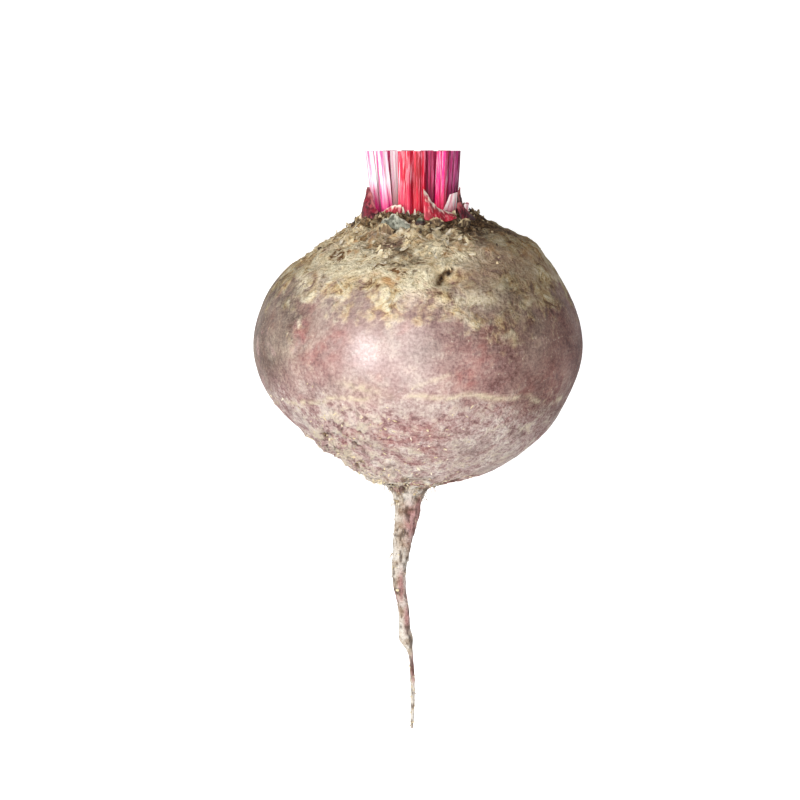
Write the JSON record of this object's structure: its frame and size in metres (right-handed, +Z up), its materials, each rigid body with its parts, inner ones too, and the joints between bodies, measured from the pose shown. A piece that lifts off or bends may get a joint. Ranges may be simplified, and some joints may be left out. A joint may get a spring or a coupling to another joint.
{
  "type": "beetroot",
  "caption": "Beetroot lying on its side: a round swollen root with a corky crown, trimmed pink and crimson leaf stalks, dried leaf bases and a long thin taproot.",
  "frame": {"origin": "centre of the flat spot that the beetroot rests on", "axes": "+Z up from the table, +Y towards the crown end, +X to the right in the picture"},
  "size_m": [0.09, 0.1594, 0.0886],
  "materials": {
    "skin": "satin",
    "stalk": "satin",
    "young_stalk": "satin",
    "maroon_husk": "matte",
    "brown_husk": "matte",
    "pink_husk": "matte",
    "grey_husk": "matte",
    "torn_flesh": "satin",
    "bud": "matte"
  },
  "bodies": {
    "root": {"root": "skin", "bud": "bud", "stalk_01": "stalk", "stalk_02": "stalk", "stalk_03": "stalk", "stalk_04": "stalk", "stalk_05": "stalk", "stalk_06": "stalk", "stalk_07": "stalk", "stalk_08": "stalk", "stalk_09": "stalk", "stalk_10": "stalk", "stalk_11": "stalk", "stalk_12": "stalk", "stalk_13": "stalk", "stalk_14": "stalk", "stalk_15": "young_stalk", "stalk_16": "young_stalk", "stalk_17": "young_stalk", "stub_right": "torn_flesh", "stub_small": "torn_flesh", "sheath_left": "maroon_husk", "sheath_right": "maroon_husk", "sheath_edge": "maroon_husk", "base_front": "pink_husk", "base_left": "pink_husk", "scale_front": "grey_husk", "scale_low": "brown_husk", "scale_right": "brown_husk", "scale_edge": "brown_husk", "scale_back_1": "brown_husk", "scale_back_2": "maroon_husk", "scale_back_3": "pink_husk", "scale_back_4": "brown_husk", "scale_back_5": "maroon_husk", "scale_back_6": "pink_husk", "scale_back_7": "brown_husk"}
  },
  "joints": []
}
